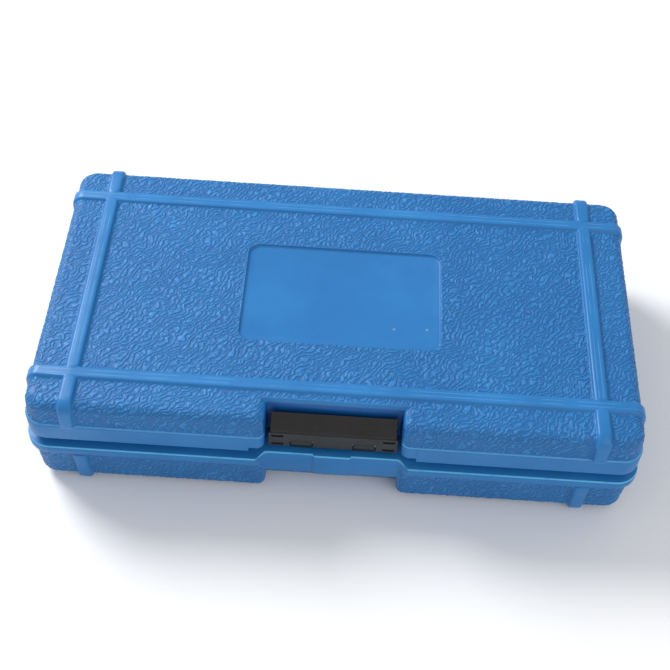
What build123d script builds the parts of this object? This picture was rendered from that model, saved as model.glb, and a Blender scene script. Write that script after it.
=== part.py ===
"""Blow-moulded carry case with a handheld pet microchip scanner packed in it.

Millimetres. +X is the case's right, +Y its hinge side, +Z up, and Z = 0 is the surface it stands on.
Every piece is drawn about the middle of the case body. save() then moves it by FRAME_Y, so that the
origin is the bottom centre of the whole object's box.
"""

import os

from build123d import *

# ---- case: plan and walls
FLANGE_LENGTH = 293.6  # over the lid's flange, along X
FLANGE_DEPTH = 159.8  # over the lid's flange, along Y
FLANGE_CORNER = 10.5
RIM_OVERHANG = 1.2  # the base's rim stands this far outside the lid's flange
LID_INSET = 0.9  # the lid's wall lies this far inside its flange
BASE_INSET = 0.7
DRAFT = 3.5  # degrees
EDGE_ROUND = 5.0  # rounding of the lid's top edge and the base's bottom edge
POCKET_ROUND = 4.0  # rounding of the upright edges at the pocket's mouth

# ---- case: heights
RIB_HEIGHT = 1.8
LOW_RIB_HEIGHT = 1.4  # the lengthways ribs are a little lower than the cross ribs
RIM_HEIGHT = 7.0  # smooth band round the top of the base
LEDGE_Z = 31.8  # top of the base's rim
REVEAL = 5.2  # shadow gap between the base's rim and the lid's flange
FLANGE_HEIGHT = 10.7
LID_TOP_Z = 61.7  # the lid's panel, below the crests of its ribs
BAND_Z = LEDGE_Z - RIM_HEIGHT
LID_EDGE_Z = LEDGE_Z + REVEAL
FLANGE_TOP_Z = LID_EDGE_Z + FLANGE_HEIGHT

# ---- case: ribs and the label recess
RIB_WIDTH = 6.8
RIB_SHOULDER = 1.3
RIB_LAP = 1.8  # the cross ribs' rounded ends run this far onto the lengthways ribs
LID_RIB_X = 125.0
BASE_RIB_X = 121.8
RIB_Y = 58.2
LABEL_LENGTH = 99.0
LABEL_WIDTH = 62.4
LABEL_CORNER = 6.0
LABEL_SINK = 1.3

# ---- case: the latch pocket in the front
POCKET_WIDTH = 64.8
POCKET_Y = -65.6
NUB_WIDTH = 80.0  # within this width the flange is set back and trimmed below
NUB_SETBACK = 0.4
NUB_TRIM = 2.2
SHELF_Y = -76.0  # front of the shelf that carries the latch
SHELF_DROP = 16.0
SHELF_WIDTH = 64.0
SHELF_SWEEP = 5.0  # length, along X, of the S-curve from the rim to the shelf
SHELF_BUMP = (18.0, 1.0)
RECESS_Y = -68.0  # back wall of the finger recess below the shelf
CATCH_WIDTH = 56.0
CATCH_PROUD = 3.0
CATCH_Z = (47.5, 49.7)

# ---- case: inside
BASE_WALL = 9.6  # double walls, measured in from the flange's outline
LID_WALL = 10.6
SKIN = 4.0  # floor of the base and roof of the lid
TONGUE_HEIGHT = 8.0  # the base's raised tongue, which the lid's skirt closes round
TONGUE_INSET = 5.8
FIT = 0.5  # play between the tongue and the skirt
LAND_GAP = 0.3  # play between the top of the tongue and the lid

# ---- hinge
HINGE_Y = 86.3
HINGE_Z = LEDGE_Z + REVEAL / 2
HINGE_X = 85.0
KNUCKLE_RADIUS = 3.6
LID_KNUCKLE = 16.0
BASE_KNUCKLE = 10.5
KNUCKLE_GAP = 0.5
HINGE_PIN_RADIUS = 1.25
HINGE_PIN_LENGTH = 39.0
RUNNING = 0.08  # radial play of a pin in a knuckle that turns on it

# ---- latch
LATCH_WIDTH = 61.6
LATCH_FACE_Y = -74.4  # front of the lever's upright strip
LATCH_KNUCKLE = 2.6
LATCH_PIN_Y = LATCH_FACE_Y + LATCH_KNUCKLE
LATCH_PIN_Z = 37.2
LATCH_PIN_RADIUS = 1.0
STRIP_TOP_Z = 45.8
STRIP_FOOT_Z = LATCH_PIN_Z - 1.5
STRIP_THICK = 2.2
BLADE_WIDTH = 60.0
BLADE_TOP = (-67.8, 54.2)  # Y and Z of the blade's upper edge
BLADE_THICK = 1.8
GROOVE = 0.7  # between the strip and the blade
ARM_X = 15.0  # the two hinge arms of the latch plate
ARM_WIDTH = 10.2
ARM_RADIUS = 2.2
ARM_FOOT_Y = LATCH_PIN_Y - 0.4  # front of each arm where it meets the plate's foot
ARM_NOTCH = 11.0
NOTCH_TOP_Z = 40.5
GRIP_SLOT_X = 26.6
GRIP_SLOT_LENGTH = 5.8
GRIP_SLOT_HEIGHT = 1.9
GRIP_SLOT_DEPTH = 1.0
GRIP_SLOT_Z = (37.2, 43.6)
PLATE_LENGTH = 58.0
PLATE_Y = (-70.0, -68.3)
PLATE_TOP_Z = 34.2
TANG_LENGTH = 50.0
TANG_DROP = 5.0

# ---- foam
FOAM_GAP = 0.3
FOAM_TOP_Z = 33.5
LID_FOAM_THICK = 12.5
NEST_GAP = 1.0
NEST_FLOOR_Z = 13.5
SCALLOP_RADIUS = 13.0
SCALLOP_X = 62.0
TRAY_LENGTH = 120.0
TRAY_WIDTH = 20.0
TRAY_X = 56.0
TRAY_Y = 54.0
TRAY_FLOOR_Z = 14.0

# ---- scanner: outline, lying along X with its reading head at -X
SCAN_BOTTOM_Z = NEST_FLOOR_Z
SCAN_SPLIT_Z = 27.5
SCAN_TOP_Z = 41.5
HEAD_X = -72.0
HEAD_RADIUS = 44.0
GRIP_LEFT_X = -60.0
GRIP_RIGHT_X = 112.0
GRIP_WIDTH = 50.0
GRIP_ROUND = 20.0
NECK_ROUND = 26.0
SCAN_EDGE = 5.0
SCAN_WALL = 2.0
LIP = 1.2  # height of the lip that locates the two housings
LIP_WALL = 0.9
DISH_RADIUS = 27.0
DISH_SINK = 0.9

# ---- scanner: on its top face
WINDOW_X = 4.0
WINDOW_LENGTH = 46.0
WINDOW_WIDTH = 30.0
WINDOW_CORNER = 3.0
LENS_THICK = 1.2
BEZEL = 2.0
LED_X = 33.5
LED_RADIUS = 1.5
READ_X = 51.0
READ_RADIUS = 9.5
READ_TRAVEL = 1.0
KEY_X = 75.0
KEY_Y = 9.0
KEY_LENGTH = 13.0
KEY_WIDTH = 8.0
KEY_ROUND = 3.0
KEY_TRAVEL = 0.8
BUTTON_PLAY = 0.3
BUTTON_PROUD = 1.5
BUTTON_FLANGE = 1.5
GRILLE_X = 96.0
GRILLE_PITCH = 4.0
GRILLE_SLOT = 12.0
GRILLE_WIDTH = 1.6

# ---- scanner: inside
BOARD_X = (-22.0, 103.0)
BOARD_WIDTH = 38.0
BOARD_Z = 32.1
BOARD_THICK = 1.6
SWITCH_TOP_Z = 36.1
MODULE_PLAY = 0.5  # round the display in its window
POST_RADIUS = 2.0
POSTS = [(-18.0, 15.5), (-18.0, -15.5), (97.0, 12.0), (97.0, -12.0)]
COIL_RADIUS = 35.0
COIL_WIDTH = 3.0
COIL_HEIGHT = 7.0
SPOOL_WALL = 1.4
LEAD_RADIUS = 0.8
CELL_RADIUS = 7.1
CELL_LENGTH = 50.0
CELL_X = 69.0
CELL_Y = 8.2
CELL_Z = 23.5
HATCH_LENGTH = 60.0
HATCH_WIDTH = 36.0
HATCH_THICK = 1.4
HATCH_LEDGE = 1.8
HATCH_PLAY = 0.2
BAY_WALL = 1.2
BAY_ROOF_Z = 31.9
CONTACT_THICK = 0.5
SCREWS = [(HEAD_X - 4, 20.0), (HEAD_X - 4, -20.0), (33.0, 14.0), (33.0, -14.0)]
SCREW_RADIUS = 1.25
SCREW_HEAD = (2.6, 1.8)
BOSS_RADIUS = 3.6
WELL_DEPTH = 6.0
SIDE_GRIP_X = (34.0, 90.0)
SIDE_GRIP_Z = (19.5, 35.5)
SIDE_GRIP_SINK = 0.8
SIDE_GRIP_PROUD = 0.4

# ---- the move that puts the origin at the bottom centre of the whole object's box
FRONT_EXTENT = FLANGE_DEPTH / 2 + RIM_OVERHANG
REAR_EXTENT = HINGE_Y + KNUCKLE_RADIUS
FRAME_Y = (FRONT_EXTENT - REAR_EXTENT) / 2

BIG = 400.0  # larger than the case in every direction


def save(builder, name):
    """Move the finished piece into the object's frame, label it and write its STEP file."""
    piece = builder.part.moved(Location((0, FRAME_Y, 0)))
    piece.label = name
    export_step(piece, f"parts/{name}.step")


def level(z):
    """A plane that faces up at height z."""
    return Plane.XY.offset(z)


def underside(z):
    """A plane that faces down at height z."""
    return Plane(origin=(0, 0, z), x_dir=(1, 0, 0), z_dir=(0, 0, -1))


def side_on(x):
    """A plane square to the case's length at x, whose own axes are Y and Z."""
    return Plane(origin=(x, 0, 0), x_dir=(0, 1, 0), z_dir=(1, 0, 0))


def block(x_range, y_range, z_range, mode=Mode.ADD):
    """A box between two values on each axis."""
    (x0, x1), (y0, y1), (z0, z1) = x_range, y_range, z_range
    with Locations(((x0 + x1) / 2, (y0 + y1) / 2, (z0 + z1) / 2)):
        Box(x1 - x0, y1 - y0, z1 - z0, mode=mode)


def plan(inset):
    """The case's rounded rectangle, inset from the flange's outline."""
    RectangleRounded(FLANGE_LENGTH - 2 * inset, FLANGE_DEPTH - 2 * inset, max(FLANGE_CORNER - inset, 6))


def notched_plan(inset):
    """The case's plan inset from the flange and from the walls of the latch pocket."""
    with BuildSketch() as notched:
        plan(inset)
        with Locations((0, POCKET_Y + inset - BIG / 2)):
            Rectangle(POCKET_WIDTH + 2 * inset, BIG, mode=Mode.SUBTRACT)
        corners = notched.vertices().filter_by_position(Axis.X, -POCKET_WIDTH, POCKET_WIDTH)
        fillet(corners, 3)
    return notched.sketch


def tub(plane, inset, height, edge):
    """The drafted outside of one case half, built out from plane with its far edge rounded."""
    with BuildPart() as shape:
        with BuildSketch(plane):
            plan(inset)
        extrude(amount=height, taper=DRAFT)
        far = shape.faces().sort_by(Axis((0, 0, 0), plane.z_dir))[-1]
        fillet(far.edges(), edge)
    return shape.part


def raised_bands(plane, inset, height, rise, outline):
    """Bands that stand rise proud of a tub, with their crests' edges rounded, inside a plan outline."""
    with BuildPart() as bands:
        add(tub(plane, inset - rise, height + rise, EDGE_ROUND + rise))
        with BuildSketch(plane):
            add(outline)
        extrude(amount=height + rise, mode=Mode.INTERSECT)
        ends = bands.faces().filter_by(GeomType.CYLINDER)
        ends = ends.filter_by(lambda f: abs(f.radius - RIB_WIDTH / 2) < 0.01)
        flanks = bands.faces().filter_by(Axis.X if outline.bounding_box().size.Y > FLANGE_DEPTH else Axis.Y)
        crest = (flanks + ends).edges().filter_by(Axis.Z, reverse=True)
        crest = crest.filter_by(lambda e: abs(e.center().Z - plane.origin.Z) > 0.01)
        fillet(crest, RIB_SHOULDER)
    return bands.part


def ribs(plane, inset, height, rib_x):
    """The grid of ribs round one case half: lengthways ribs, and cross ribs broken to let them by."""
    inner = RIB_Y - RIB_WIDTH / 2 + RIB_LAP
    outer = RIB_Y + RIB_WIDTH / 2 - RIB_LAP + BIG / 2
    with BuildSketch() as lengthways:
        with GridLocations(0, 2 * RIB_Y, 1, 2):
            Rectangle(BIG, RIB_WIDTH)
    with BuildSketch() as across:
        with GridLocations(2 * rib_x, 0, 2, 1):
            SlotOverall(2 * inner, RIB_WIDTH, rotation=90)
        with GridLocations(2 * rib_x, 2 * outer, 2, 2):
            SlotOverall(BIG, RIB_WIDTH, rotation=90)
    low = raised_bands(plane, inset, height, LOW_RIB_HEIGHT, lengthways.sketch)
    high = raised_bands(plane, inset, height, RIB_HEIGHT, across.sketch)
    return [low, high]


def pocketed(shape, back_y):
    """shape with the latch pocket cut out of its front and the pocket's mouth rounded."""
    with BuildPart() as cut:
        add(shape)
        block((-POCKET_WIDTH / 2, POCKET_WIDTH / 2), (-BIG, back_y), (-BIG, BIG), mode=Mode.SUBTRACT)
        walls = cut.faces().filter_by(Axis.X).filter_by(lambda f: abs(f.center().X) < POCKET_WIDTH)
        mouth = walls.edges().filter_by(lambda e: e.center().Y < back_y - 0.5)
        mouth = mouth.filter_by(Axis.Y, reverse=True)
        fillet(mouth, POCKET_ROUND)
    return cut.part


def wall_ring(z, height, outer_inset, inner_inset):
    """A wall that follows the case's notched plan between two insets."""
    with BuildPart() as wall:
        with BuildSketch(level(z)):
            add(notched_plan(outer_inset))
            add(notched_plan(inner_inset), mode=Mode.SUBTRACT)
        extrude(amount=height)
    return wall.part


def base_rim():
    """The smooth rim round the top of the base, swept back to the latch's shelf across the pocket."""
    half = SHELF_WIDTH / 2
    with BuildPart() as rim:
        with BuildSketch(level(BAND_Z)):
            plan(-RIM_OVERHANG)
        extrude(amount=RIM_HEIGHT)
        chamfer(rim.faces().sort_by(Axis.Z)[0].edges(), BASE_INSET + RIM_OVERHANG - 0.1)
        with BuildSketch(level(BAND_Z)) as setback:
            with BuildLine():
                Polyline(
                    (-half - 2 * SHELF_SWEEP, -BIG),
                    (-half - SHELF_SWEEP, -FRONT_EXTENT),
                    (-half, SHELF_Y),
                    (half, SHELF_Y),
                    (half + SHELF_SWEEP, -FRONT_EXTENT),
                    (half + 2 * SHELF_SWEEP, -BIG),
                    close=True,
                )
            make_face()
            fillet(setback.vertices().filter_by_position(Axis.Y, -FRONT_EXTENT - 1, 0), POCKET_ROUND)
        extrude(amount=RIM_HEIGHT, mode=Mode.SUBTRACT)
    return rim.part


def lid_flange():
    """The smooth flange round the lid's lower edge, trimmed back to a nub on each side of the pocket."""
    nub_y = -FLANGE_DEPTH / 2 + NUB_SETBACK
    trim = (LID_EDGE_Z - 1, LID_EDGE_Z + NUB_TRIM)
    with BuildPart() as flange:
        with BuildSketch(level(LID_EDGE_Z)):
            plan(0)
        extrude(amount=FLANGE_HEIGHT)
        fillet(flange.faces().sort_by(Axis.Z)[-1].edges(), 0.6)
        fillet(flange.faces().sort_by(Axis.Z)[0].edges(), 0.7)
        with BuildSketch(level(LID_EDGE_Z)) as mouth:
            with Locations((0, nub_y - BIG / 2)):
                Rectangle(NUB_WIDTH, BIG)
            with Locations((0, POCKET_Y - BIG / 2)):
                Rectangle(POCKET_WIDTH, BIG)
            lips = mouth.vertices().filter_by_position(Axis.Y, nub_y - 0.1, nub_y + 0.1)
            fillet(lips.filter_by_position(Axis.X, -POCKET_WIDTH / 2 - 1, POCKET_WIDTH / 2 + 1), POCKET_ROUND)
        extrude(amount=FLANGE_HEIGHT, mode=Mode.SUBTRACT)
        block((-NUB_WIDTH / 2, NUB_WIDTH / 2), (-BIG, POCKET_Y), trim, mode=Mode.SUBTRACT)
    return flange.part


def scanner_plan(inset):
    """The scanner's plan, shrunk by inset: a round head blended into a straight grip."""
    with BuildSketch() as outline:
        with Locations((HEAD_X, 0)):
            Circle(HEAD_RADIUS)
        with Locations(((GRIP_LEFT_X + GRIP_RIGHT_X) / 2, 0)):
            RectangleRounded(GRIP_RIGHT_X - GRIP_LEFT_X, GRIP_WIDTH, GRIP_ROUND)
        neck = outline.vertices().filter_by_position(Axis.X, HEAD_X, 0)
        fillet(neck, NECK_ROUND)
        offset(amount=-inset)
    return outline.sketch


def scanner_block(plane, inset, height, edge):
    """The scanner's plan shrunk by inset, built out from a plane with its far edge rounded."""
    with BuildPart() as shape:
        with BuildSketch(plane):
            add(scanner_plan(inset))
        extrude(amount=height)
        fillet(shape.faces().sort_by(Axis((0, 0, 0), plane.z_dir))[-1].edges(), edge)
    return shape.part


def window(z, grow):
    """The display window's rounded rectangle at height z, grown by grow."""
    with BuildSketch(level(z)) as outline:
        with Locations((WINDOW_X, 0)):
            size = 2 * grow
            RectangleRounded(WINDOW_LENGTH + size, WINDOW_WIDTH + size, WINDOW_CORNER + min(grow, 0))
    return outline.sketch


def key_outline(z, y, grow):
    """A function key's rounded rectangle at height z, grown by grow."""
    with BuildSketch(level(z)) as outline:
        with Locations((KEY_X, y)):
            RectangleRounded(KEY_LENGTH + 2 * grow, KEY_WIDTH + 2 * grow, KEY_ROUND)
    return outline.sketch


def pillar(points, z, radius, height, mode=Mode.ADD):
    """Equal upright cylinders that stand at height z on each of the points."""
    with Locations(*[(x, y, z) for x, y in points]):
        Cylinder(radius, height, align=(Align.CENTER, Align.CENTER, Align.MIN), mode=mode)


os.makedirs("parts", exist_ok=True)

# ==== case: base shell ====
base_depth = BAND_Z - RIB_HEIGHT
base_tub = tub(underside(BAND_Z), BASE_INSET, base_depth, EDGE_ROUND)
base_knuckle_x = LID_KNUCKLE / 2 + KNUCKLE_GAP + BASE_KNUCKLE / 2
with BuildPart() as base_shell:
    add(pocketed(base_tub, RECESS_Y))
    add(ribs(underside(BAND_Z), BASE_INSET, base_depth, BASE_RIB_X))
    add(base_rim())
    half_shelf = POCKET_WIDTH / 2 + 2
    block((-half_shelf, half_shelf), (SHELF_Y, RECESS_Y), (LEDGE_Z - SHELF_DROP, BAND_Z))
    bump_width, bump_proud = SHELF_BUMP
    block((-bump_width / 2, bump_width / 2), (SHELF_Y - bump_proud, SHELF_Y), (LEDGE_Z - SHELF_DROP, LEDGE_Z))
    # the hollow for the foam, and the tongue round it
    with BuildSketch(level(RIB_HEIGHT + SKIN)):
        add(notched_plan(BASE_WALL))
    extrude(amount=BIG, mode=Mode.SUBTRACT)
    add(wall_ring(LEDGE_Z, TONGUE_HEIGHT, TONGUE_INSET, BASE_WALL))
    # hinge knuckles on webs that grow out of the rim
    for x in [station + side * base_knuckle_x for station in (-HINGE_X, HINGE_X) for side in (-1, 1)]:
        with BuildSketch(side_on(x - BASE_KNUCKLE / 2)):
            with Locations((HINGE_Y, HINGE_Z)):
                Circle(KNUCKLE_RADIUS)
            with BuildLine():
                Polyline(
                    (FRONT_EXTENT - 1, LEDGE_Z),
                    (HINGE_Y - KNUCKLE_RADIUS + 0.3, HINGE_Z + 0.6),
                    (HINGE_Y + KNUCKLE_RADIUS - 0.3, HINGE_Z - 1),
                    (HINGE_Y + KNUCKLE_RADIUS - 1.1, HINGE_Z - 2.5),
                    (FRONT_EXTENT - 1, BAND_Z + 2),
                    close=True,
                )
            make_face()
        extrude(amount=BASE_KNUCKLE)
    with BuildSketch(side_on(-BIG / 2)):
        with Locations((HINGE_Y, HINGE_Z)):
            Circle(HINGE_PIN_RADIUS)
    extrude(amount=BIG, mode=Mode.SUBTRACT)
    # the slot that the latch plate's tang is pressed into
    block((-TANG_LENGTH / 2, TANG_LENGTH / 2), PLATE_Y, (LEDGE_Z - TANG_DROP, LEDGE_Z), mode=Mode.SUBTRACT)
save(base_shell, "base_shell")

# ==== case: lid shell ====
lid_rise = LID_TOP_Z - FLANGE_TOP_Z
lid_tub = tub(level(FLANGE_TOP_Z), LID_INSET, lid_rise, EDGE_ROUND)
land_z = LEDGE_Z + TONGUE_HEIGHT + LAND_GAP
with BuildPart() as lid_shell:
    add(pocketed(lid_tub, POCKET_Y))
    add(ribs(level(FLANGE_TOP_Z), LID_INSET, lid_rise, LID_RIB_X))
    add(lid_flange())
    # the hollow for the foam, and the skirt that closes round the base's tongue
    with BuildSketch(level(land_z)):
        add(notched_plan(LID_WALL))
    extrude(amount=LID_TOP_Z - SKIN - land_z, mode=Mode.SUBTRACT)
    with BuildSketch(level(LID_EDGE_Z)):
        add(notched_plan(TONGUE_INSET - FIT))
    extrude(amount=land_z - LID_EDGE_Z, mode=Mode.SUBTRACT)
    with BuildSketch(level(LID_TOP_Z - LABEL_SINK)):
        RectangleRounded(LABEL_LENGTH, LABEL_WIDTH, LABEL_CORNER)
    extrude(amount=LABEL_SINK + 1, mode=Mode.SUBTRACT)
    block((-CATCH_WIDTH / 2, CATCH_WIDTH / 2), (POCKET_Y - CATCH_PROUD, POCKET_Y), CATCH_Z)
    for x in (-HINGE_X, HINGE_X):
        with BuildSketch(side_on(x - LID_KNUCKLE / 2)):
            with Locations((HINGE_Y, HINGE_Z)):
                Circle(KNUCKLE_RADIUS)
            with BuildLine():
                Polyline(
                    (FLANGE_DEPTH / 2 - 1, LID_EDGE_Z + 0.7),
                    (HINGE_Y - KNUCKLE_RADIUS + 0.3, HINGE_Z + 0.4),
                    (HINGE_Y + KNUCKLE_RADIUS - 0.4, HINGE_Z + 1.6),
                    (FLANGE_DEPTH / 2 - 1, FLANGE_TOP_Z - 1.4),
                    close=True,
                )
            make_face()
        extrude(amount=LID_KNUCKLE)
    with BuildSketch(side_on(-BIG / 2)):
        with Locations((HINGE_Y, HINGE_Z)):
            Circle(HINGE_PIN_RADIUS + RUNNING)
    extrude(amount=BIG, mode=Mode.SUBTRACT)
save(lid_shell, "lid_shell")

# ==== case: hinge pins ====
with BuildPart() as hinge_pins:
    for x in (-HINGE_X, HINGE_X):
        with BuildSketch(side_on(x - HINGE_PIN_LENGTH / 2)):
            with Locations((HINGE_Y, HINGE_Z)):
                Circle(HINGE_PIN_RADIUS)
        extrude(amount=HINGE_PIN_LENGTH)
save(hinge_pins, "hinge_pins")

# ==== latch: plate with two hinge arms, pressed into the base's shelf ====
with BuildPart() as latch_plate:
    block((-PLATE_LENGTH / 2, PLATE_LENGTH / 2), PLATE_Y, (LEDGE_Z, PLATE_TOP_Z))
    block((-TANG_LENGTH / 2, TANG_LENGTH / 2), PLATE_Y, (LEDGE_Z - TANG_DROP, LEDGE_Z))
    for x in (-ARM_X, ARM_X):
        with BuildSketch(side_on(x - ARM_WIDTH / 2)):
            with Locations((LATCH_PIN_Y, LATCH_PIN_Z)):
                Circle(ARM_RADIUS)
            with BuildLine():
                Polyline(
                    (ARM_FOOT_Y, LEDGE_Z),
                    (LATCH_PIN_Y - ARM_RADIUS + 0.2, LATCH_PIN_Z),
                    (PLATE_Y[0] + 0.5, LATCH_PIN_Z),
                    (PLATE_Y[0] + 0.5, LEDGE_Z),
                    close=True,
                )
            make_face()
        extrude(amount=ARM_WIDTH)
    with BuildSketch(side_on(-BIG / 2)):
        with Locations((LATCH_PIN_Y, LATCH_PIN_Z)):
            Circle(LATCH_PIN_RADIUS)
    extrude(amount=BIG, mode=Mode.SUBTRACT)
save(latch_plate, "latch_plate")

with BuildPart() as latch_pin:
    with BuildSketch(side_on(-LATCH_WIDTH / 2)):
        with Locations((LATCH_PIN_Y, LATCH_PIN_Z)):
            Circle(LATCH_PIN_RADIUS)
    extrude(amount=LATCH_WIDTH)
save(latch_pin, "latch_pin")

# ==== latch: lever, an upright strip with a sloping blade above it ====
blade_foot = (LATCH_FACE_Y + GROOVE, STRIP_TOP_Z + GROOVE)
blade_slope = (Vector(*BLADE_TOP) - Vector(*blade_foot)).normalized()
blade_inward = BLADE_THICK * blade_slope.rotate(Axis.Z, -90)
with BuildPart() as latch_lever:
    with BuildSketch(side_on(-LATCH_WIDTH / 2)):
        with Locations((LATCH_PIN_Y, LATCH_PIN_Z)):
            Circle(LATCH_KNUCKLE)
        with BuildLine():
            Polyline(
                (LATCH_FACE_Y, STRIP_FOOT_Z),
                (LATCH_FACE_Y, STRIP_TOP_Z),
                (LATCH_FACE_Y + STRIP_THICK, STRIP_TOP_Z),
                (LATCH_FACE_Y + STRIP_THICK, STRIP_FOOT_Z),
                close=True,
            )
        make_face()
    extrude(amount=LATCH_WIDTH)
    with BuildSketch(side_on(-BLADE_WIDTH / 2)):
        with BuildLine():
            Polyline(
                blade_foot,
                BLADE_TOP,
                (BLADE_TOP[0], BLADE_TOP[1] - BLADE_THICK / blade_slope.X),
                (blade_foot[0] + blade_inward.X, blade_foot[1] + blade_inward.Y),
                (LATCH_FACE_Y + STRIP_THICK, STRIP_TOP_Z - 1),
                (blade_foot[0], STRIP_TOP_Z - 1),
                close=True,
            )
        make_face()
    extrude(amount=BLADE_WIDTH)
    for x in (-ARM_X, ARM_X):
        half = ARM_NOTCH / 2
        block((x - half, x + half), (-BIG, 0), (0, NOTCH_TOP_Z), mode=Mode.SUBTRACT)
    for x in (-GRIP_SLOT_X, GRIP_SLOT_X):
        for z in GRIP_SLOT_Z:
            with BuildSketch(Plane(origin=(0, LATCH_FACE_Y, 0), x_dir=(1, 0, 0), z_dir=(0, -1, 0))):
                with Locations((x, z)):
                    RectangleRounded(GRIP_SLOT_LENGTH, GRIP_SLOT_HEIGHT, 0.6)
            extrude(amount=-GRIP_SLOT_DEPTH, mode=Mode.SUBTRACT)
    with BuildSketch(side_on(-BIG / 2)):
        with Locations((LATCH_PIN_Y, LATCH_PIN_Z)):
            Circle(LATCH_PIN_RADIUS + RUNNING)
    extrude(amount=BIG, mode=Mode.SUBTRACT)
save(latch_lever, "latch_lever")

# ==== foam ====
with BuildPart() as base_foam:
    floor_z = RIB_HEIGHT + SKIN
    with BuildSketch(level(floor_z)):
        add(notched_plan(BASE_WALL + FOAM_GAP))
    extrude(amount=FOAM_TOP_Z - floor_z)
    with BuildSketch(level(NEST_FLOOR_Z)):
        add(scanner_plan(-NEST_GAP))
        with Locations((SCALLOP_X, GRIP_WIDTH / 2), (SCALLOP_X, -GRIP_WIDTH / 2)):
            Circle(SCALLOP_RADIUS)
    extrude(amount=BIG, mode=Mode.SUBTRACT)
    with BuildSketch(level(TRAY_FLOOR_Z)):
        with Locations((TRAY_X, TRAY_Y)):
            RectangleRounded(TRAY_LENGTH, TRAY_WIDTH, 5)
    extrude(amount=BIG, mode=Mode.SUBTRACT)
save(base_foam, "base_foam")

with BuildPart() as lid_foam:
    with BuildSketch(level(LID_TOP_Z - SKIN - LID_FOAM_THICK)):
        add(notched_plan(LID_WALL + FOAM_GAP))
    extrude(amount=LID_FOAM_THICK)
save(lid_foam, "lid_foam")

# ==== scanner: rear housing, the half that lies in the foam ====
hatch_floor_z = SCAN_BOTTOM_Z + HATCH_THICK
bay_length = HATCH_LENGTH - 2 * HATCH_LEDGE
bay_width = HATCH_WIDTH - 2 * HATCH_LEDGE
bay_x = (CELL_X - bay_length / 2, CELL_X + bay_length / 2)
bay_y = (-bay_width / 2, bay_width / 2)
rear_height = SCAN_SPLIT_Z - SCAN_BOTTOM_Z
grip_face = GRIP_WIDTH / 2
with BuildPart() as scanner_rear_housing:
    add(scanner_block(underside(SCAN_SPLIT_Z), 0, rear_height, SCAN_EDGE))
    add(
        scanner_block(underside(SCAN_SPLIT_Z), SCAN_WALL, rear_height - SCAN_WALL, SCAN_EDGE - SCAN_WALL),
        mode=Mode.SUBTRACT,
    )
    with BuildSketch(level(SCAN_SPLIT_Z - 1)):
        add(scanner_plan(SCAN_WALL - LIP_WALL))
        add(scanner_plan(SCAN_WALL), mode=Mode.SUBTRACT)
    extrude(amount=LIP + 1)
    pillar(SCREWS, SCAN_BOTTOM_Z + 1, BOSS_RADIUS, SCAN_SPLIT_Z - SCAN_BOTTOM_Z - 1)
    block(
        (bay_x[0] - BAY_WALL, bay_x[1] + BAY_WALL),
        (bay_y[0] - BAY_WALL, bay_y[1] + BAY_WALL),
        (SCAN_BOTTOM_Z + 1, BAY_ROOF_Z),
    )
    block(bay_x, bay_y, (SCAN_BOTTOM_Z - 1, BAY_ROOF_Z - 1), mode=Mode.SUBTRACT)
    with BuildSketch(level(SCAN_BOTTOM_Z)):
        with Locations((CELL_X, 0)):
            RectangleRounded(HATCH_LENGTH + 2 * HATCH_PLAY, HATCH_WIDTH + 2 * HATCH_PLAY, 3 + HATCH_PLAY)
    extrude(amount=HATCH_THICK, mode=Mode.SUBTRACT)
    pillar(SCREWS, SCAN_BOTTOM_Z, SCREW_HEAD[0] + 0.3, WELL_DEPTH, mode=Mode.SUBTRACT)
    pillar(SCREWS, SCAN_BOTTOM_Z, SCREW_RADIUS + 0.2, rear_height, mode=Mode.SUBTRACT)
    for side in (-1, 1):
        inner, outer = sorted((side * (grip_face - SIDE_GRIP_SINK), side * (grip_face + 1)))
        block(SIDE_GRIP_X, (inner, outer), SIDE_GRIP_Z, mode=Mode.SUBTRACT)
save(scanner_rear_housing, "scanner_rear_housing")

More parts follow.
